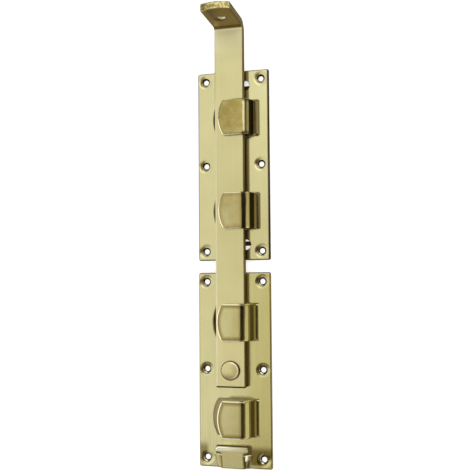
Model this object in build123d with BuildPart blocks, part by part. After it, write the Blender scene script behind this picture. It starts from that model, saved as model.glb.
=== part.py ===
from build123d import *
import os
from math import atan2, degrees, hypot, radians, cos, sin, sqrt, tan

# A sliding gate bolt: two pressed steel plates in line, each with two hooks lanced out of its
# own sheet, and one flat bar with a bent handle that slides through all four hooks.
# X is to the right, Z is up along the bar and the front faces -Y, all in millimetres.
# The origin is the centre of the bolt plate's back face, which lies on the gate.

# Flat bar and its bent handle
bar_width = 30.0
bar_thickness = 8.0
bar_length = 368.5
bar_x = -1.7
bar_edge_radius = 0.9
handle_reach = 47.8
handle_rise_deg = 1.0
handle_bend_radius = 4.0
handle_tip_radius = 31.0
handle_hole_radius = 2.8
handle_hole_reach = 25.0
handle_sink_radius = 6.5
handle_sink_deg = 120.0

# Rivet near the bar's lower end
rivet_from_end = 17.3
rivet_head_radius = 9.8
rivet_head_height = 2.8
rivet_head_rim = 2.1
rivet_shank_radius = 5.0
rivet_tail_radius = 7.5
rivet_tail_height = 2.2
rivet_tail_rim = 1.4
rivet_head_roll = 0.8
rivet_tail_roll = 0.5

# Running clearances of the bar and its rivet
tail_clearance = 0.3
hook_clearance = 0.8
head_clearance = 0.9

# Pressed plates
sheet = 3.0
side_margin = 11.1
end_margin = 31.55
plate_gap = 12.5
plate_corner_radius = 1.8
plate_edge_roll = 1.3
cut_edge_roll = 0.5

# Hooks lanced out of the plates
hook_width = 37.5
hook_pitch = 96.0
hook_bend_radius = 6.5
hook_wall_run = 2.5
hook_tuck = 1.9
hook_short = 3.8
hook_take_up = 8.6
hook_tip_radius = 36.0
hook_crown_deg = 3.5
hook_corner_radius = 4.0
hook_cut_gap = 0.25
hook_edge_roll = 2.0
keeper_hook_shift = -1.6

# Screw holes with pressed dimples, and the plain bolt holes of the bolt plate
screw_side_inset = 8.5
screw_end_inset = 9.3
screw_hole_radius = 2.75
screw_sink_radius = 5.0
screw_sink_deg = 90.0
dimple_radius = 7.6
dimple_depth = 0.9
bolt_hole_radius = 5.3
bolt_hole_offset = 12.7

# Stop tab, a T pressed out of the keeper plate's lower end
tab_base_height = 4.0
tab_tip_height = 9.3
tab_length = 22.2
tab_head_length = 5.6
tab_head_width = 33.0
tab_neck_width = 23.0
tab_flank_deg = 78.0
tab_slit = 0.15
tab_side_gap = 2.2
tab_window_start = 12.7
tab_corner_radius = 2.0
tab_throat_radius = 2.5
tab_edge_roll = 1.4

# Heights in front of the plates' front face
bar_standoff = rivet_tail_height + tail_clearance
bar_front = bar_standoff + bar_thickness
bolt_passage = bar_front + hook_clearance
keeper_passage = bar_front + rivet_head_height + head_clearance

# Places across the plates, on X
bar_left = bar_x - bar_width / 2
bar_right = bar_x + bar_width / 2
hook_run = 2 * hook_bend_radius + hook_wall_run
hook_foot = bar_right - hook_tuck + hook_run
hook_lip = bar_left + hook_short
window_end = hook_lip - hook_take_up
plate_width = 2 * (hook_foot + side_margin)

# Places along the bar, on Z
plate_height = hook_pitch + hook_width + 2 * end_margin
keeper_z = -(plate_height + plate_gap)
keeper_bottom = keeper_z - plate_height / 2
bar_end = keeper_z - rivet_from_end
handle_z = bar_end + bar_length


def front(height):
    """Gives the Y of what stands this high in front of the plates' front face."""
    return -(sheet + height)


def cap_radius(rim_radius, rise):
    """Gives the radius of the ball whose cap has this rim and this rise."""
    return (rim_radius**2 + rise**2) / (2 * rise)


def tongue_outline(foot_x, tip_x, width, centre_z):
    """Draws a tongue seen from the front: square at its foot, a shallow arc at its tip."""
    low = centre_z - width / 2
    high = centre_z + width / 2
    shoulder_x = tip_x + hook_tip_radius - sqrt(hook_tip_radius**2 - (width / 2) ** 2)
    with BuildSketch() as outline:
        with BuildLine():
            Polyline((shoulder_x, low), (foot_x, low), (foot_x, high), (shoulder_x, high))
            ThreePointArc((shoulder_x, high), (tip_x, centre_z), (shoulder_x, low))
        make_face()
        fillet(outline.vertices().sort_by(Axis.X)[:2], hook_corner_radius)
    return outline.sketch


def lanced_hook(centre_z, passage, shift):
    """Bends one hook: out of the plate at its foot, over the bar, with a free rounded tip."""
    foot_x = hook_foot + shift
    lip_x = hook_lip + shift
    climb = passage + sheet
    bends = 2 * hook_bend_radius
    wall = sqrt(hypot(hook_run, climb - bends) ** 2 - bends**2)
    wall_deg = 90 + degrees(atan2(climb - bends, hook_run) - atan2(wall, bends))
    with BuildPart() as hook:
        with BuildSketch(Plane.XY.offset(centre_z - hook_width / 2)):
            with BuildLine():
                root = Line((foot_x + sheet, front(-sheet / 2)), (foot_x, front(-sheet / 2)))
                rise = JernArc(root @ 1, root % 1, hook_bend_radius, wall_deg)
                side = PolarLine(rise @ 1, wall, direction=rise % 1)
                crest = JernArc(side @ 1, side % 1, hook_bend_radius, hook_crown_deg - wall_deg)
                crown_radius = ((crest @ 1).X - lip_x) / (2 * sin(radians(hook_crown_deg)))
                JernArc(crest @ 1, crest % 1, crown_radius, -2 * hook_crown_deg)
            trace(line_width=sheet)
        extrude(amount=hook_width)
        with BuildSketch(Plane.XZ):
            add(tongue_outline(foot_x + sheet, lip_x, hook_width, centre_z))
        extrude(amount=2 * sheet + climb, mode=Mode.INTERSECT)
        top = hook.faces().sort_by(Axis.Y)[0]
        crest_x = foot_x - hook_run
        fillet([edge for edge in top.edges() if edge.center().X < crest_x - 1], hook_edge_roll)
    return hook.part


def pressed_plate(centre_z, passage, shift):
    """Blanks one plate, cuts the hooks' windows, bends the hooks and presses the screw holes."""
    hook_places = [centre_z + side * hook_pitch / 2 for side in (-1, 1)]
    hooks = [lanced_hook(place, passage, shift) for place in hook_places]
    foot_x = hook_foot + shift
    cut_width = hook_width + 2 * hook_cut_gap
    dimple_ball = cap_radius(dimple_radius, dimple_depth)
    screw_x_pitch = plate_width - 2 * screw_side_inset
    screw_z_pitch = plate_height / 2 - screw_end_inset
    with BuildPart() as plate:
        with BuildSketch(Plane.XZ):
            with Locations((0, centre_z)):
                RectangleRounded(plate_width, plate_height, plate_corner_radius)
            for place in hook_places:
                add(tongue_outline(foot_x, window_end + shift, cut_width, place), mode=Mode.SUBTRACT)
        extrude(amount=sheet)
        face = plate.faces().sort_by(Axis.Y)[0]
        cuts = [edge for wire in face.inner_wires() for edge in wire.edges()]
        fillet(face.outer_wire().edges(), plate_edge_roll)
        fillet([edge for edge in cuts if edge.center().X < foot_x - 1], cut_edge_roll)
        with Locations(Plane.XZ.offset(sheet)):
            with Locations((0, centre_z)):
                with GridLocations(screw_x_pitch, screw_z_pitch, 2, 3):
                    CounterSinkHole(screw_hole_radius, screw_sink_radius, sheet, screw_sink_deg)
                    with Locations((0, 0, dimple_ball - dimple_depth)):
                        Sphere(dimple_ball, mode=Mode.SUBTRACT)
        add(hooks)
    return plate.part


with BuildPart() as bolt_plate:
    add(pressed_plate(0, bolt_passage, 0))
    with Locations(Plane.XZ.offset(sheet)):
        with GridLocations(2 * bolt_hole_offset, plate_height - end_margin, 2, 2):
            Hole(bolt_hole_radius, sheet)

# The stop tab's front climbs from the plate's lower edge to the T's free end. Its two flanks are
# coves: steep beside the neck, and running out flat on the plate.
tab_flank = radians(tab_flank_deg)
tab_climb = (tab_tip_height - tab_base_height) / tab_length
tab_window_height = tab_length + tab_slit - tab_window_start


def tab_ramp(depth):
    """Fills the tab between its coves, with every surface lying this deep behind the real one."""
    with BuildPart() as ramp:
        for along in (0, tab_window_start):
            top = tab_base_height + tab_climb * along
            cove_radius = top / (1 - cos(tab_flank)) + depth
            foot_half = tab_neck_width / 2 + top / tan(tab_flank / 2)
            top_half = foot_half - sqrt(cove_radius**2 - (cove_radius - top) ** 2)
            left_foot = (bar_x - foot_half, front(-depth))
            left_top = (bar_x - top_half, front(top - depth))
            right_top = (bar_x + top_half, front(top - depth))
            right_foot = (bar_x + foot_half, front(-depth))
            with BuildSketch(Plane.XY.offset(keeper_bottom + along)):
                with BuildLine():
                    RadiusArc(left_foot, left_top, cove_radius)
                    Line(left_top, right_top)
                    RadiusArc(right_top, right_foot, cove_radius)
                    Line(right_foot, left_foot)
                make_face()
        loft()
        ridges = [edge for edge in ramp.edges() if abs(edge.center().X - bar_x) > 1]
        fillet(ShapeList(ridges).group_by(Axis.Y)[0], tab_edge_roll)
    return ramp.part


with BuildPart() as stop_tab:
    with BuildSketch(Plane.YZ.offset(bar_x)):
        with BuildLine():
            Polyline(
                (front(tab_base_height), keeper_bottom),
                (front(tab_tip_height), keeper_bottom + tab_length),
                (front(tab_tip_height - sheet), keeper_bottom + tab_length),
                (front(tab_base_height - sheet), keeper_bottom),
                close=True,
            )
        make_face()
    extrude(amount=tab_head_width, both=True)
    with BuildSketch(Plane.XZ) as tee:
        with Locations((bar_x, keeper_bottom + tab_length)):
            Rectangle(tab_head_width, tab_head_length, align=(Align.CENTER, Align.MAX))
            Rectangle(tab_neck_width, tab_length, align=(Align.CENTER, Align.MAX))
        fillet(tee.vertices().group_by(Axis.Y)[1].sort_by(Axis.X)[1:3], tab_throat_radius)
        head_sides = tee.vertices().group_by(Axis.X)
        fillet(head_sides[0] + head_sides[-1], tab_corner_radius)
    extrude(amount=2 * tab_tip_height, mode=Mode.INTERSECT)
    fillet(stop_tab.faces().sort_by(Axis.Y)[0].edges(), tab_edge_roll)
    add(tab_ramp(0))

with BuildPart() as keeper_plate:
    add(pressed_plate(keeper_z, keeper_passage, keeper_hook_shift))
    with BuildSketch(Plane.XZ) as tab_window:
        with Locations((bar_x, keeper_bottom + tab_window_start)):
            window_width = tab_head_width + 2 * tab_side_gap
            Rectangle(window_width, tab_window_height, align=(Align.CENTER, Align.MIN))
        fillet(tab_window.vertices(), tab_corner_radius)
    extrude(amount=sheet, mode=Mode.SUBTRACT)
    add(stop_tab.part)
    add(tab_ramp(sheet), mode=Mode.SUBTRACT)

# The handle's underside leaves the bar's front face at handle_z and rises away from the gate.
handle_rise = radians(handle_rise_deg)
bar_middle = front(bar_standoff + bar_thickness / 2)
corner_z = handle_z + bar_thickness / 2 * (1 - sin(handle_rise)) / cos(handle_rise)
handle_run = handle_reach + bar_thickness + handle_tip_radius
shoulder_y = front(bar_front + handle_reach)
tip_y = shoulder_y - handle_tip_radius + sqrt(handle_tip_radius**2 - (bar_width / 2) ** 2)

with BuildPart() as flat_bar:
    with BuildSketch(Plane.YZ.offset(bar_x)):
        with BuildLine():
            FilletPolyline(
                (bar_middle, bar_end),
                (bar_middle, corner_z),
                (bar_middle - handle_run, corner_z + handle_run * tan(handle_rise)),
                radius=handle_bend_radius + bar_thickness / 2,
            )
        trace(line_width=bar_thickness)
    extrude(amount=bar_width / 2, both=True)
    with BuildSketch(Plane.XY.offset(bar_end)):
        with BuildLine():
            Polyline(
                (bar_left, shoulder_y),
                (bar_left, front(bar_standoff)),
                (bar_right, front(bar_standoff)),
                (bar_right, shoulder_y),
            )
            ThreePointArc((bar_right, shoulder_y), (bar_x, tip_y), (bar_left, shoulder_y))
        make_face()
    extrude(amount=2 * bar_length, mode=Mode.INTERSECT)
    fillet(flat_bar.edges(), bar_edge_radius)
    hole_reach = handle_hole_reach * cos(handle_rise)
    hole_place = (bar_x, front(bar_front + hole_reach), handle_z + hole_reach * tan(handle_rise))
    with Locations(Plane(hole_place, (1, 0, 0), (0, -sin(handle_rise), -cos(handle_rise)))):
        CounterSinkHole(handle_hole_radius, handle_sink_radius, bar_thickness, handle_sink_deg)
    with Locations(Plane.XZ.offset(-front(bar_front))):
        with Locations((bar_x, keeper_z)):
            Hole(rivet_shank_radius, bar_thickness)

# The rivet's half-profile, turned about its own axis: a low domed head in front of the bar, the
# shank through it, and the tail headed over behind it.
head_top = front(bar_front + rivet_head_height)
head_rim = front(bar_front + rivet_head_rim)
tail_top = front(bar_standoff - rivet_tail_height)
tail_rim = front(bar_standoff - rivet_tail_rim)

with BuildPart() as stop_rivet:
    with BuildSketch(Plane.XY.offset(keeper_z)) as half:
        with BuildLine():
            head_ball = cap_radius(rivet_head_radius, head_rim - head_top)
            tail_ball = cap_radius(rivet_tail_radius, tail_top - tail_rim)
            Line((bar_x, head_top), (bar_x, tail_top))
            RadiusArc((bar_x, tail_top), (bar_x + rivet_tail_radius, tail_rim), tail_ball)
            Polyline(
                (bar_x + rivet_tail_radius, tail_rim),
                (bar_x + rivet_tail_radius, front(bar_standoff)),
                (bar_x + rivet_shank_radius, front(bar_standoff)),
                (bar_x + rivet_shank_radius, front(bar_front)),
                (bar_x + rivet_head_radius, front(bar_front)),
                (bar_x + rivet_head_radius, head_rim),
            )
            RadiusArc((bar_x + rivet_head_radius, head_rim), (bar_x, head_top), head_ball)
        make_face()
        fillet(half.vertices().group_by(Axis.X)[-1].sort_by(Axis.Y)[0], rivet_head_roll)
        fillet(half.vertices().sort_by(Axis.Y)[-2], rivet_tail_roll)
    revolve(axis=Axis((bar_x, 0, keeper_z), (0, 1, 0)))

os.makedirs("parts", exist_ok=True)
bolt_plate.part.label = "bolt_plate"
keeper_plate.part.label = "keeper_plate"
flat_bar.part.label = "flat_bar"
stop_rivet.part.label = "stop_rivet"
export_step(bolt_plate.part, "parts/bolt_plate.step")
export_step(keeper_plate.part, "parts/keeper_plate.step")
export_step(flat_bar.part, "parts/flat_bar.step")
export_step(stop_rivet.part, "parts/stop_rivet.step")
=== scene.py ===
import math

import bpy
from mathutils import Matrix, Vector

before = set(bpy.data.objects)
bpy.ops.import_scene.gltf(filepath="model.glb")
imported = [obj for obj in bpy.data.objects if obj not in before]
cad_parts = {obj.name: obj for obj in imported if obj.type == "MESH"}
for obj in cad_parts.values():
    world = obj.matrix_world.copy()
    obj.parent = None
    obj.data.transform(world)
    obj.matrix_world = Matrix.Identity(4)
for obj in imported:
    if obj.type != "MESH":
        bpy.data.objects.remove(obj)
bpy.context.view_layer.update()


# ---- Bolt plate ----
# The upper plate: 3 mm rolled sheet steel, pressed in one stroke so that two hooks stand out of it, with
# six countersunk screw holes in shallow dimples. It is bright zinc plated and passivated a pale yellow
# gold, and the lengthwise lines of the rolling still show through the plating.

def reckon(operation, first, second=0.0):
    """One sum in a finish, on sockets or plain numbers."""
    tree = (second if isinstance(first, float) else first).id_data
    node = tree.nodes.new("ShaderNodeMath")
    node.operation = operation
    for socket, value in zip(node.inputs, (first, second)):
        if isinstance(value, float):
            socket.default_value = value
        else:
            tree.links.new(value, socket)
    return node.outputs["Value"]


def all_of(*masks):
    """Gives where all these masks hold at once."""
    together = masks[0]
    for mask in masks[1:]:
        together = reckon("MULTIPLY", together, mask)
    return together


def distance(first, second):
    """The length of a step of these two parts, at right angles to each other."""
    squares = [reckon("MULTIPLY", part, part) for part in (first, second)]
    return reckon("SQRT", reckon("ADD", *squares))


def run_over(value, low, high, at_low, at_high, shape="LINEAR"):
    """Runs from at_low to at_high while the value goes from low to high, and no further."""
    tree = value.id_data
    node = tree.nodes.new("ShaderNodeMapRange")
    node.interpolation_type = shape
    ends = {"From Min": low, "From Max": high, "To Min": at_low, "To Max": at_high}
    for name, number in ends.items():
        node.inputs[name].default_value = number
    tree.links.new(value, node.inputs["Value"])
    return node.outputs["Result"]


def fade(value, full, none):
    """Gives 1 where the value is at full, 0 where it is at none, and a soft step between them."""
    if full < none:
        return run_over(value, full, none, 1.0, 0.0, "SMOOTHSTEP")
    return run_over(value, none, full, 0.0, 1.0, "SMOOTHSTEP")


def position(material):
    """Gives the X, Y and Z sockets of the place on the piece, in metres."""
    place = material.node_tree.nodes.new("ShaderNodeTexCoord")
    split = material.node_tree.nodes.new("ShaderNodeSeparateXYZ")
    material.node_tree.links.new(place.outputs["Object"], split.inputs["Vector"])
    return split.outputs["X"], split.outputs["Y"], split.outputs["Z"]


def lumps(material, lumps_per_metre, detail):
    """An uneven pattern all over the piece, about 0.5 on average."""
    place = material.node_tree.nodes.new("ShaderNodeTexCoord")
    noise = material.node_tree.nodes.new("ShaderNodeTexNoise")
    noise.inputs["Scale"].default_value = lumps_per_metre
    noise.inputs["Detail"].default_value = detail
    material.node_tree.links.new(place.outputs["Object"], noise.inputs["Vector"])
    return noise.outputs["Fac"]


def passivated_steel(name, tint, pale_tint, roughness, streak_width, streak_length, streak_height):
    """Yellow-passivated zinc on steel that was rolled or drawn along Z. Widths and heights in metres."""
    material = bpy.data.materials.new(name)
    material.use_nodes = True
    nodes = material.node_tree.nodes
    links = material.node_tree.links
    surface = nodes["Principled BSDF"]
    surface.inputs["Metallic"].default_value = 1.0

    # Long thin lines along Z, from the rolls.
    place = nodes.new("ShaderNodeTexCoord")
    stretched_place = nodes.new("ShaderNodeMapping")
    stretched_place.inputs["Scale"].default_value = (1 / streak_width, 1 / streak_width, 1 / streak_length)
    links.new(place.outputs["Object"], stretched_place.inputs["Vector"])
    lines = nodes.new("ShaderNodeTexNoise")
    lines.inputs["Scale"].default_value = 1.0
    lines.inputs["Detail"].default_value = 3.0
    lines.inputs["Roughness"].default_value = 0.6
    links.new(stretched_place.outputs["Vector"], lines.inputs["Vector"])

    # Film colour: the lines, and clouds a few centimetres across, choose between the two tints.
    clouds = lumps(material, 34.0, 2.0)
    colour = nodes.new("ShaderNodeValToRGB")
    colour.color_ramp.elements[0].position = 0.30
    colour.color_ramp.elements[0].color = (*tint, 1.0)
    colour.color_ramp.elements[1].position = 0.70
    colour.color_ramp.elements[1].color = (*pale_tint, 1.0)
    links.new(reckon("MULTIPLY", reckon("ADD", lines.outputs["Fac"], clouds), 0.5), colour.inputs["Fac"])
    links.new(colour.outputs["Color"], surface.inputs["Base Color"])

    # The lines are a little duller than the steel between them.
    sheen = run_over(lines.outputs["Fac"], 0.3, 0.7, roughness - 0.04, roughness + 0.05)
    links.new(sheen, surface.inputs["Roughness"])

    # Relief: the lines themselves, over the faint waviness of sheet that went through a press.
    waviness = nodes.new("ShaderNodeBump")
    waviness.inputs["Strength"].default_value = 1.0
    waviness.inputs["Distance"].default_value = 0.00025
    links.new(lumps(material, 22.0, 1.0), waviness.inputs["Height"])
    relief = nodes.new("ShaderNodeBump")
    relief.inputs["Strength"].default_value = 1.0
    relief.inputs["Distance"].default_value = streak_height
    links.new(lines.outputs["Fac"], relief.inputs["Height"])
    links.new(waviness.outputs["Normal"], relief.inputs["Normal"])
    links.new(relief.outputs["Normal"], surface.inputs["Normal"])
    return material


def lay_film_and_light(material, colour, *masks, share=1.0):
    """Lays this colour where all the masks hold, as far as the share: a film, and in places painted light and
    shade.
    """
    base_colour = material.node_tree.nodes["Principled BSDF"].inputs["Base Color"]
    mask = all_of(*masks)
    if share < 1.0:
        mask = reckon("MULTIPLY", mask, share)
    # A mix of two colours has its share, its colours and its result at these numbers.
    blend = material.node_tree.nodes.new("ShaderNodeMix")
    blend.data_type = "RGBA"
    blend_share, colour_below, colour_on_top = (blend.inputs[number] for number in (0, 6, 7))
    blended = blend.outputs[2]
    colour_on_top.default_value = (*colour, 1.0)
    material.node_tree.links.new(mask, blend_share)
    material.node_tree.links.new(base_colour.links[0].from_socket, colour_below)
    material.node_tree.links.new(blended, base_colour)


def finish_node(name, material):
    """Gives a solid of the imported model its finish."""
    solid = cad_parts[name]
    solid.data.materials.clear()
    solid.data.materials.append(material)


plate_steel = passivated_steel(
    "plate_steel",
    tint=(0.63, 0.575, 0.285),
    pale_tint=(0.69, 0.645, 0.345),
    roughness=0.21,
    streak_width=0.0011,
    streak_length=0.060,
    streak_height=0.000008,
)

# The colours that come back: a pale painted highlight, a paler painted glint, and a brown and a dark
# painted shade.
painted_highlight = (0.97, 0.95, 0.76)
painted_glint = (0.98, 0.97, 0.84)
brown_painted_shade = (0.13, 0.095, 0.03)
dark_painted_shade = (0.06, 0.04, 0.01)

# Both plates are alike, 76 x 196.6 mm. The keeper plate's middle lies 209.1 mm below the bolt plate's,
# and its hooks lie 1.6 mm further left. The height is the place in Y, which falls towards the viewer:
# the plates' fronts are at -0.003. Each fade has two places in metres: where the colour is full, and
# where it has ended.
plate_half_width = 0.0380
plate_half_length = 0.0983
keeper_drop = 0.2091
gap_middle = -0.1045
keeper_hook_shift = 0.0016
hook_off_middle = 0.048
hook_half_length = 0.01875
lip_radius = 0.036
lip_centre = 0.0231
across, height, along = position(plate_steel)
in_keeper = reckon("LESS_THAN", along, gap_middle)
in_bolt_plate = reckon("SUBTRACT", 1.0, in_keeper)
above_middle = reckon("ADD", along, reckon("MULTIPLY", in_keeper, keeper_drop))
off_middle = reckon("ABSOLUTE", above_middle)
on_face = all_of(fade(height, -0.0034, -0.0040), fade(height, -0.0026, -0.0018))

# The keeper plate is paler at its lower left and yellower along its right side.
lower_left = all_of(fade(along, -0.2850, -0.1900), fade(across, -0.0080, 0.0100))
lay_film_and_light(plate_steel, (0.78, 0.73, 0.40), lower_left, on_face, share=0.8)
lay_film_and_light(plate_steel, (0.585, 0.54, 0.225), in_keeper, fade(across, 0.0240, 0.0060), share=0.8)

# The flats of the hooks are painted a cloudy brown as painted shade, most of all on the top one. The bend
# beside the flat wavers by about half a millimetre.
hook_half = reckon("ABSOLUTE", reckon("SUBTRACT", off_middle, hook_off_middle))
hook_across = reckon("ADD", across, reckon("MULTIPLY", in_keeper, keeper_hook_shift))
lip_reach = distance(hook_half, reckon("SUBTRACT", hook_across, lip_centre))
rim_gap = reckon(
    "MINIMUM", reckon("SUBTRACT", hook_half_length, hook_half), reckon("SUBTRACT", lip_radius, lip_reach)
)
waver = reckon("MULTIPLY", reckon("SUBTRACT", lumps(plate_steel, 50.0, 1.0), 0.5), 0.0026)
wavy_across = reckon("ADD", hook_across, waver)
hook_top = fade(height, -0.0150, -0.0138)
on_flat = all_of(hook_top, fade(rim_gap, 0.0015, 0.0007), fade(wavy_across, 0.0134, 0.0144))
shade_share = reckon("MAXIMUM", fade(along, 0.060, -0.190), 0.22)
cloudy = reckon("ADD", lumps(plate_steel, 110.0, 2.0), 0.38)
hook_painted_shade = reckon("MINIMUM", all_of(on_flat, shade_share, cloudy), 0.95)
lay_film_and_light(plate_steel, (0.33, 0.25, 0.065), hook_painted_shade)

# Just inside their rims the three lower hooks are browner: painted shade.
below_top_hook = fade(along, 0.0, 0.0200)
rim_shade_share = reckon("ADD", reckon("MULTIPLY", below_top_hook, 0.35), reckon("MULTIPLY", in_keeper, 0.5))
inside_rim = all_of(fade(rim_gap, 0.0022, 0.0062), fade(rim_gap, 0.0020, 0.0012))
lay_film_and_light(plate_steel, (0.28, 0.20, 0.055), on_flat, inside_rim, rim_shade_share)

# Painted shade: their flats also grow darker towards the bend, and the top hook's bend is dark at both its
# ends.
shade_to_bend = all_of(fade(hook_across, 0.0135, 0.0085), fade(hook_across, 0.0142, 0.0150))
lay_film_and_light(plate_steel, (0.12, 0.085, 0.025), shade_to_bend, hook_top, below_top_hook, share=0.55)
shade_at_bend_ends = all_of(fade(hook_across, 0.0138, 0.0124), fade(hook_half, 0.0172, 0.0140))
in_top_hook = all_of(fade(height, -0.0110, -0.0100), fade(along, 0.0200, 0.0))
lay_film_and_light(plate_steel, (0.07, 0.05, 0.015), shade_at_bend_ends, in_top_hook, share=0.85)

# The rolled rims of the hooks' lips carry a painted highlight.
lip_rim_highlight = all_of(fade(rim_gap, 0.0007, 0.0013), hook_top, fade(hook_across, 0.0090, 0.0120))
lay_film_and_light(plate_steel, painted_highlight, lip_rim_highlight, share=0.9)

# A dark line of painted shade runs along the bend of the bolt plate's lower hook, and a fainter one on the
# next.
shade_on_bend = all_of(fade(wavy_across, 0.0127, 0.0112), fade(wavy_across, 0.0157, 0.0169))
next_hooks = all_of(fade(along, 0.0100, 0.0200), fade(along, -0.0700, -0.2500))
lay_film_and_light(plate_steel, (0.03, 0.022, 0.006), shade_on_bend, fade(height, -0.0140, -0.0130), next_hooks, share=0.95)

# Painted shade: the feet of all the hooks' walls are brown, and the walls of the bolt plate's hooks are
# nearly black.
wall = all_of(fade(height, -0.0112, -0.0126), fade(along, -0.2780, -0.2800))
lay_film_and_light(plate_steel, (0.16, 0.115, 0.035), wall, fade(height, -0.0036, -0.0031), share=0.75)
lay_film_and_light(plate_steel, (0.04, 0.028, 0.008), wall, fade(height, -0.0066, -0.0054), in_bolt_plate)

# Painted shade spreads from the crook of the bolt plate's feet onto its front.
in_crook = all_of(fade(hook_across, 0.0277, 0.0289), fade(hook_across, 0.0240, 0.0230))
beside_foot = all_of(fade(hook_half, 0.0178, 0.0190), on_face, in_bolt_plate)
lay_film_and_light(plate_steel, brown_painted_shade, in_crook, beside_foot, share=0.9)

# The windows' rounded left ends carry a painted highlight.
lay_film_and_light(plate_steel, painted_glint, fade(height, -0.0021, -0.0025), fade(across, -0.0190, -0.0170))

# The plates' own edges are painted dark as painted shade, broader along the bolt plate's right side and
# lighter along the keeper plate's.
to_side = reckon("SUBTRACT", plate_half_width, reckon("ABSOLUTE", across))
to_end = reckon("SUBTRACT", plate_half_length, off_middle)
lay_film_and_light(plate_steel, (0.09, 0.062, 0.018), fade(reckon("MINIMUM", to_side, to_end), 0.0005, 0.0013))
right_border_shade = all_of(fade(across, 0.0371, 0.0355), fade(height, -0.0022, -0.0010))
lay_film_and_light(plate_steel, (0.07, 0.048, 0.014), right_border_shade, in_bolt_plate)
lay_film_and_light(plate_steel, (0.36, 0.28, 0.11), fade(across, 0.0375, 0.0367), in_keeper)

# A painted shadow and reflection of the bar lies along its right side on the bolt plate.
bar_shadow_strip = all_of(fade(across, 0.0165, 0.0178), fade(across, 0.0120, 0.0100))
lay_film_and_light(plate_steel, brown_painted_shade, bar_shadow_strip, on_face, in_bolt_plate, share=0.85)

# The stop tab is a little browner than its plate, and its head carries a painted highlight.
on_tab = all_of(fade(along, -0.2840, -0.2830), fade(height, -0.0040, -0.0034))
lay_film_and_light(plate_steel, (0.50, 0.42, 0.18), on_tab, share=0.5)
tab_head_highlight = all_of(fade(along, -0.2870, -0.2905), fade(across, -0.0140, 0.0260))
lay_film_and_light(plate_steel, painted_highlight, tab_head_highlight, on_tab, share=0.9)

# Beside the tab the keeper plate is darker brown round both lower corner screws, but not in its lower
# right corner.
to_corner = reckon("SUBTRACT", across, along)
beside_tab = all_of(fade(along, -0.2910, -0.2830), fade(along, -0.3025, -0.3055), on_face)
right_of_tab = all_of(fade(across, 0.0172, 0.0150), fade(to_corner, 0.3310, 0.3345))
lay_film_and_light(plate_steel, (0.17, 0.125, 0.028), beside_tab, right_of_tab, share=0.9)
above_left_screw = all_of(fade(along, -0.2890, -0.2800), fade(along, -0.2925, -0.2970))
lay_film_and_light(plate_steel, (0.18, 0.13, 0.03), fade(across, -0.0310, -0.0265), above_left_screw, share=0.7)

# Painted shade: the coves at both sides of the tab's neck are brown, with a dark crease along the neck.
# The right one has a painted highlight, a bright lobe.
bar_line = -0.0017
from_neck = reckon("ABSOLUTE", reckon("SUBTRACT", across, bar_line))
off_neck = fade(from_neck, 0.0112, 0.0100)
in_cove = all_of(off_neck, fade(along, -0.2945, -0.2940), fade(height, -0.0036, -0.0030))
lay_film_and_light(plate_steel, (0.22, 0.165, 0.055), in_cove, share=0.75)
left_crease = all_of(fade(across, -0.0129, -0.0125), fade(across, -0.0139, -0.0145))
right_crease = all_of(fade(across, 0.0102, 0.0094), fade(across, 0.0112, 0.0120))
lay_film_and_light(plate_steel, (0.07, 0.05, 0.015), reckon("ADD", left_crease, right_crease), in_cove)
highlight_lobe = all_of(fade(across, 0.0112, 0.0104), fade(along, -0.2980, -0.3010))
lay_film_and_light(plate_steel, (0.95, 0.92, 0.68), highlight_lobe, in_cove)

# The countersinks are painted dark as painted shade. The screw holes lie in rows 89 mm apart, 29.5 mm off
# the middle line.
screw_rows = 0.089
screws_off_line = 0.0295
nearest_row = reckon("MULTIPLY", reckon("ROUND", reckon("DIVIDE", above_middle, screw_rows)), screw_rows)
above_screw = reckon("SUBTRACT", above_middle, nearest_row)
screw_line = reckon("MULTIPLY", reckon("SIGN", across), screws_off_line)
left_of_screw = reckon("SUBTRACT", screw_line, across)
from_screw = distance(above_screw, left_of_screw)
lay_film_and_light(plate_steel, dark_painted_shade, fade(from_screw, 0.0040, 0.0047))

# Painted shade: up and left of each screw hole the dimple's wall is dark, and in the left row all along
# its left, but not beside the gap between the plates. The keeper's lower right dimple has a bright
# painted reflection there instead.
off_back = fade(height, -0.0010, -0.0005)
in_dimple = fade(from_screw, 0.0056, 0.0066)
up_left = reckon("ADD", reckon("MULTIPLY", above_screw, 0.6), reckon("MULTIPLY", left_of_screw, 0.8))
upper_wall = all_of(fade(up_left, 0.0048, 0.0036), in_dimple, off_back)
off_gap = reckon("MAXIMUM", fade(along, -0.0600, -0.0750), fade(along, -0.1500, -0.1350))
left_row = all_of(fade(across, -0.0200, -0.0100), off_gap)
left_wall = all_of(fade(left_of_screw, 0.0046, 0.0034), in_dimple, left_row, off_back)
dimple_wall = reckon("MAXIMUM", upper_wall, left_wall)
by_last_screw = fade(to_corner, 0.3100, 0.2900)
off_last_screw = reckon("SUBTRACT", 1.0, by_last_screw)
lay_film_and_light(plate_steel, (0.10, 0.07, 0.02), dimple_wall, off_last_screw, share=0.85)
lay_film_and_light(plate_steel, painted_highlight, dimple_wall, by_last_screw, share=0.8)

# Down and left of each hole the countersink itself carries a painted glint, with a brown line of painted
# shade round it.
down_left = reckon("SUBTRACT", left_of_screw, above_screw)
in_countersink = all_of(fade(from_screw, 0.0040, 0.0045), fade(from_screw, 0.0035, 0.0030))
lay_film_and_light(plate_steel, painted_glint, fade(down_left, 0.0046, 0.0036), in_countersink, off_back)
round_countersink = all_of(fade(from_screw, 0.0047, 0.0044), fade(from_screw, 0.0051, 0.0056))
lay_film_and_light(
    plate_steel, (0.16, 0.115, 0.035), round_countersink, fade(down_left, 0.0030, 0.0010), off_back, share=0.8
)

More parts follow.
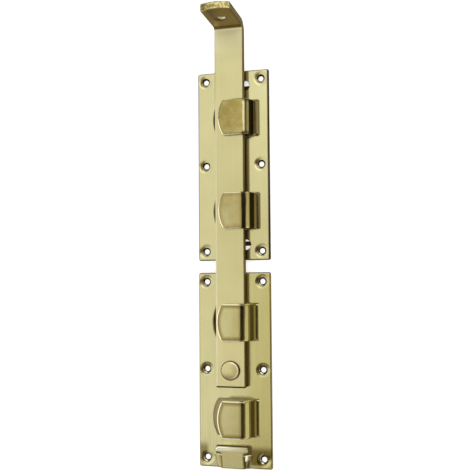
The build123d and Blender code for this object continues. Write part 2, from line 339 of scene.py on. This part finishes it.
# The walls of the plain bolt holes are painted dark too, as painted shade. They lie 25.4 mm apart across
# the plate and 165.05 mm apart along it.
bolts_off_line = 0.0127
bolts_off_middle = 0.082525
from_bolt = distance(
    reckon("SUBTRACT", reckon("ABSOLUTE", along), bolts_off_middle),
    reckon("SUBTRACT", reckon("ABSOLUTE", across), bolts_off_line),
)
lay_film_and_light(plate_steel, dark_painted_shade, fade(from_bolt, 0.0054, 0.0058))
finish_node("bolt_plate", plate_steel)


# ---- Keeper plate ----
# The lower plate: the same pressing out of the same sheet, with its hooks bent a little higher and a
# T-shaped stop tab pushed out of its lower end. It takes the end of the bar.

finish_node("keeper_plate", plate_steel)


# ---- Flat bar ----
# The moving bolt: 30 x 8 mm drawn flat bar, its top end bent forward as the handle and rounded off. It
# was plated with the plates, and its front at -0.0135 is rubbed lengthwise by the hooks as it slides.

bar_steel = passivated_steel(
    "bar_steel",
    tint=(0.60, 0.545, 0.265),
    pale_tint=(0.67, 0.620, 0.325),
    roughness=0.33,
    streak_width=0.0014,
    streak_length=0.090,
    streak_height=0.000010,
)

# A dark line of painted shade lies in the crease round the rivet's head.
rivet_z = -0.2091
across, height, along = position(bar_steel)
off_bar_line = reckon("SUBTRACT", across, bar_line)
from_rivet = distance(off_bar_line, reckon("SUBTRACT", along, rivet_z))
lay_film_and_light(bar_steel, (0.04, 0.028, 0.008), fade(from_rivet, 0.0106, 0.0114))

# Its front is paler towards the lower end. Just below the bend it is pale and matt, painted light that
# lifts the dark mirror image of the handle's underside there.
in_front = all_of(fade(height, -0.0131, -0.0125), fade(height, -0.0143, -0.0155))
lay_film_and_light(bar_steel, (0.79, 0.725, 0.385), in_front, fade(along, -0.2200, -0.0300))
painted_light_below_bend = all_of(in_front, fade(along, 0.1330, 0.1080))
lay_film_and_light(bar_steel, (0.93, 0.86, 0.48), painted_light_below_bend)
still_bright = reckon("SUBTRACT", 1.0, reckon("MULTIPLY", painted_light_below_bend, 0.95))
bar_surface = bar_steel.node_tree.nodes["Principled BSDF"]
bar_steel.node_tree.links.new(still_bright, bar_surface.inputs["Metallic"])

# Its narrow sides are painted browner, as painted shade, and paler on the handle.
on_side = fade(reckon("ABSOLUTE", off_bar_line), 0.0147, 0.0141)
lay_film_and_light(bar_steel, (0.38, 0.29, 0.11), on_side)
lay_film_and_light(bar_steel, (0.55, 0.46, 0.22), on_side, fade(height, -0.0190, -0.0150))

# The front's left edge carries a painted highlight.
left_edge_highlight = all_of(fade(across, -0.0156, -0.0148), fade(height, -0.0130, -0.0124))
lay_film_and_light(bar_steel, painted_highlight, left_edge_highlight, fade(along, 0.0500, 0.0900), share=0.35)

# The lower end is painted dark, as painted shadow where it stands off the plate.
lay_film_and_light(bar_steel, dark_painted_shade, fade(along, -0.2252, -0.2243))

# Painted shade: under the handle the surface is brown, and darker on the right and in the upper half of
# the bend. The underside leaves the bar's front 142.1 mm above the middle of the bolt plate and climbs 1
# in 57.
bar_front = -0.0135
underside_z = 0.1421
underside_climb = 0.01746
climb = reckon("MULTIPLY", reckon("SUBTRACT", bar_front, height), underside_climb)
over_underside = reckon("SUBTRACT", reckon("SUBTRACT", along, climb), underside_z)
under = all_of(fade(over_underside, 0.0004, 0.0010), fade(height, -0.0165, -0.0145))
lay_film_and_light(bar_steel, (0.52, 0.39, 0.13), under)
lay_film_and_light(bar_steel, (0.265, 0.183, 0.037), under, fade(across, -0.0075, -0.0135))
bend_centre_y = -0.0175
bend_centre_z = 0.1381
from_bend = distance(reckon("SUBTRACT", height, bend_centre_y), reckon("SUBTRACT", along, bend_centre_z))
lay_film_and_light(bar_steel, (0.16, 0.11, 0.03), fade(from_bend, 0.0043, 0.0048), fade(along, 0.1410, 0.1402))

# The sink of the handle's hole is painted dark as painted shade, and the hole's straight wall carries a
# painted highlight.
handle_hole_y = -0.0385
from_hole = distance(off_bar_line, reckon("SUBTRACT", height, handle_hole_y))
in_handle = fade(along, 0.1460, 0.1465)
in_sink = all_of(fade(from_hole, 0.0070, 0.0080), fade(from_hole, 0.0045, 0.0036), in_handle)
lay_film_and_light(bar_steel, (0.17, 0.12, 0.035), in_sink)
lay_film_and_light(bar_steel, (0.95, 0.93, 0.78), fade(from_hole, 0.0034, 0.0042), in_handle)

# The rounded tip was cut off with a coarse tool: its film is blotched by the ridges that were left.
tip_centre_y = -0.0342
from_tip_centre = distance(off_bar_line, reckon("SUBTRACT", height, tip_centre_y))
on_tip = all_of(fade(from_tip_centre, 0.0308, 0.0300), fade(along, 0.139, 0.137))
ridges = fade(lumps(bar_steel, 420.0, 2.0), 0.56, 0.44)
lay_film_and_light(bar_steel, (0.34, 0.27, 0.08), on_tip, ridges)
finish_node("flat_bar", bar_steel)


# ---- Stop rivet ----
# A cold-headed steel rivet near the bar's lower end: a low round head in front, which stops against the
# bolt plate's lower hook when the bar is drawn up, and the headed tail behind.

rivet_steel = passivated_steel(
    "rivet_steel",
    tint=(0.60, 0.53, 0.255),
    pale_tint=(0.68, 0.61, 0.31),
    roughness=0.20,
    streak_width=0.0030,
    streak_length=0.0030,
    streak_height=0.000010,
)

# Its head carries a painted highlight along the right of its rim. Its wall is painted as dark as the
# painted shade in the crease below it.
across, height, along = position(rivet_steel)
from_axis = distance(reckon("SUBTRACT", across, bar_line), reckon("SUBTRACT", along, rivet_z))
rim = all_of(fade(from_axis, 0.0076, 0.0068), fade(from_axis, 0.0085, 0.0089))
lay_film_and_light(rivet_steel, (0.98, 0.95, 0.76), rim, fade(across, 0.0010, -0.0040))
lay_film_and_light(rivet_steel, (0.06, 0.04, 0.012), fade(from_axis, 0.0091, 0.0087))
finish_node("stop_rivet", rivet_steel)


# ---- Camera ----
# The photograph's viewing angle: in front, a little to the right and low down, looking slightly up at the
# handle. Its place and its three axes are given in the part's own frame.

lens_mm = 57.447
camera_place = Vector((0.20269, -0.74473, -0.12226))
camera_right = Vector((0.96486, 0.262658, -0.0074656))
camera_up = Vector((0.0242154, -0.0605914, 0.9978689))
camera_forward = Vector((-0.2616463, 0.9629845, 0.0648226))

camera_data = bpy.data.cameras.new("camera")
camera_data.lens = lens_mm
camera_data.sensor_width = 36.0
camera_data.sensor_fit = "HORIZONTAL"
camera_data.clip_start = 0.01
camera_data.clip_end = 50.0
camera = bpy.data.objects.new("camera", camera_data)
bpy.context.scene.collection.objects.link(camera)
turn = Matrix((camera_right, camera_up, -camera_forward)).transposed().to_4x4()
camera.matrix_world = Matrix.Translation(camera_place) @ turn
bpy.context.scene.camera = camera


# ---- Pale floor ----
# The bolt lies on its back on a plain pale floor, which is therefore upright here, just behind the
# plates. Behind the hooks' windows darker patches on it are painted shade. From behind it lets the view
# through.

def square_sheet(name):
    """A flat sheet of 1 m x 1 m about the origin, facing up."""
    bpy.ops.object.select_all(action="DESELECT")
    bpy.ops.mesh.primitive_plane_add(size=1.0, location=(0, 0, 0))
    bpy.context.object.name = name
    return bpy.context.object


def floor_sheet(name, low, high, y, material):
    """An upright rectangle that faces the viewer, from its low corner (x, z) to its high one."""
    sheet = square_sheet(name)
    width = high[0] - low[0]
    height = high[1] - low[1]
    centre = Vector(((low[0] + high[0]) / 2, y, (low[1] + high[1]) / 2))
    upright = Matrix.Rotation(math.radians(90), 4, "X")
    spread = Matrix.Diagonal((width, height, 1.0, 1.0))
    sheet.data.transform(Matrix.Translation(centre) @ upright @ spread)
    sheet.data.materials.append(material)
    sheet.visible_glossy = False
    sheet.visible_diffuse = False
    sheet.visible_transmission = False
    sheet.visible_shadow = False


def floor_finish(name, colour, own_white):
    """Matt colour that keeps shadows; in a dark colour it is a patch of painted shade. own_white is what it
    adds to the camera's view alone.
    """
    material = bpy.data.materials.new(name)
    material.use_nodes = True
    nodes = material.node_tree.nodes
    links = material.node_tree.links
    nodes.remove(nodes["Principled BSDF"])
    matt = nodes.new("ShaderNodeBsdfDiffuse")
    matt.inputs["Color"].default_value = (*colour, 1.0)
    ray = nodes.new("ShaderNodeLightPath")
    white = nodes.new("ShaderNodeEmission")
    links.new(reckon("MULTIPLY", ray.outputs["Is Camera Ray"], own_white), white.inputs["Strength"])
    both = nodes.new("ShaderNodeAddShader")
    links.new(matt.outputs["BSDF"], both.inputs[0])
    links.new(white.outputs["Emission"], both.inputs[1])
    clear = nodes.new("ShaderNodeBsdfTransparent")
    side = nodes.new("ShaderNodeNewGeometry")
    sides = nodes.new("ShaderNodeMixShader")
    links.new(side.outputs["Backfacing"], sides.inputs["Fac"])
    links.new(both.outputs["Shader"], sides.inputs[1])
    links.new(clear.outputs["BSDF"], sides.inputs[2])
    links.new(sides.outputs["Shader"], nodes["Material Output"].inputs["Surface"])
    return material


floor_white = floor_finish("floor_white", (0.9, 0.9, 0.9), own_white=0.55)
floor_shaded = floor_finish("floor_shaded", (0.06, 0.04, 0.012), own_white=0.0)
floor_half_shaded = floor_finish("floor_half_shaded", (0.52, 0.45, 0.24), own_white=0.0)
floor_shaded_under_tab = floor_finish("floor_shaded_under_tab", (0.20, 0.15, 0.06), own_white=0.0)

# The patches of painted shade lie 0.2 mm before the floor: behind the four hooks' windows, where the
# empty lowest hook lets more light in, behind two of the plain bolt holes, and behind the slot round the
# stop tab.
floor_y = 0.0004
patch_y = 0.0002
floor_sheet("floor", (-3.0, -3.0), (3.0, 3.0), floor_y, floor_white)
window_half_height = 0.021
plate_middles = (0.0, -keeper_drop)
window_middles = [middle + off for middle in plate_middles for off in (hook_off_middle, -hook_off_middle)]
for number, window_z in enumerate(window_middles, start=1):
    low = (-0.025, window_z - window_half_height)
    high = (0.027, window_z + window_half_height)
    shade = floor_half_shaded if number == len(window_middles) else floor_shaded
    floor_sheet(f"floor_window_{number}", low, high, patch_y, shade)
for number, (low_z, high_z) in enumerate(((0.0766, 0.0826), (-0.0836, -0.0790)), start=1):
    floor_sheet(f"floor_hole_{number}", (0.006, low_z), (0.020, high_z), patch_y, floor_shaded)
floor_sheet("floor_window_5", (-0.0225, -0.3010), (0.0185, -0.2840), patch_y, floor_shaded_under_tab)


# ---- Light ----
# Plain white surroundings, one weak soft lamp in front and above, and plain cards that only the gloss of
# the steel shows: the dark side of the room behind the camera, and what stands round and below it.

bpy.context.scene.view_settings.view_transform = "Standard"
world = bpy.data.worlds.new("white_room")
bpy.context.scene.world = world
world.use_nodes = True
room = world.node_tree.nodes["Background"]
room.inputs["Color"].default_value = (1.0, 1.0, 1.0, 1.0)

# The room is plain white where it is seen or mirrored, and sheds a little less light than that.
room_shown = 1.0
room_shed = 0.75
seen = world.node_tree.nodes.new("ShaderNodeLightPath").outputs
shown = reckon("MAXIMUM", seen["Is Camera Ray"], seen["Is Glossy Ray"])
shown = reckon("MAXIMUM", shown, seen["Is Transmission Ray"])
world.node_tree.links.new(run_over(shown, 0.0, 1.0, room_shed, room_shown), room.inputs["Strength"])

# The lamp and the cards face this place on the bolt.
room_middle = Vector((0.0, 0.0, -0.08))


def face_bolt(thing, place):
    """Puts a lamp or a card at a place and turns it to the bolt."""
    facing = (room_middle - place).to_track_quat("-Z", "Y").to_matrix().to_4x4()
    thing.matrix_world = Matrix.Translation(place) @ facing


soft_lamp_data = bpy.data.lights.new("soft_lamp", "AREA")
soft_lamp_data.shape = "RECTANGLE"
soft_lamp_data.size = 1.5
soft_lamp_data.size_y = 1.5
soft_lamp_data.energy = 3.0
soft_lamp = bpy.data.objects.new("soft_lamp", soft_lamp_data)
bpy.context.scene.collection.objects.link(soft_lamp)
face_bolt(soft_lamp, Vector((0.37, -1.39, 0.82)))


def room_card(name, azimuths, elevations, colour):
    """A flat card 2.5 m off that only gloss shows, in degrees right of the bolt's front and above it."""
    azimuth = math.radians(sum(azimuths) / 2)
    elevation = math.radians(sum(elevations) / 2)
    away = 2.5
    width = 2 * away * math.tan(math.radians(azimuths[1] - azimuths[0]) / 2) * math.cos(elevation)
    height = 2 * away * math.tan(math.radians(elevations[1] - elevations[0]) / 2)
    card = square_sheet(name)
    card.data.transform(Matrix.Diagonal((width, height, 1.0, 1.0)))
    outward = Vector((math.sin(azimuth), -math.cos(azimuth), math.tan(elevation)))
    face_bolt(card, room_middle + away * math.cos(elevation) * outward)
    material = bpy.data.materials.new(name)
    material.use_nodes = True
    nodes = material.node_tree.nodes
    nodes.remove(nodes["Principled BSDF"])
    glow = nodes.new("ShaderNodeEmission")
    glow.inputs["Color"].default_value = (*colour, 1.0)
    glow.inputs["Strength"].default_value = 1.0
    material.node_tree.links.new(glow.outputs["Emission"], nodes["Material Output"].inputs["Surface"])
    card.data.materials.append(material)
    card.visible_camera = False
    card.visible_diffuse = False
    card.visible_transmission = False
    card.visible_shadow = False


room_card("card_behind_camera", (1, 52), (-20, 11), (0.06, 0.046, 0.02))
room_card("card_left_of_camera", (-12, 1), (-20, 9), (0.78, 0.71, 0.54))
room_card("card_left", (-105, -62), (-30, 12), (1.6, 1.6, 1.5))
room_card("card_left_above", (-95, -45), (14, 40), (0.30, 0.26, 0.16))
room_card("card_right_above", (50, 86), (9, 38), (0.07, 0.055, 0.03))
room_card("card_far_right_above", (86, 118), (9, 38), (0.40, 0.36, 0.25))
room_card("card_right", (54, 104), (-1, 9), (0.74, 0.66, 0.44))
room_card("card_far_right", (104, 120), (-1, 9), (0.34, 0.29, 0.18))
room_card("card_near_right_low", (52, 62), (-20, -1), (0.24, 0.19, 0.09))
room_card("card_right_low", (62, 114), (-20, -1), (0.82, 0.74, 0.52))
room_card("card_back_right", (145, 180), (-35, 45), (0.12, 0.095, 0.045))
room_card("card_back_left", (180, 212), (-60, -8), (0.15, 0.11, 0.045))
room_card("card_low_front", (-40, 58), (-40, -20), (0.22, 0.18, 0.10))
room_card("card_low", (-60, 60), (-75, -48), (0.25, 0.22, 0.15))
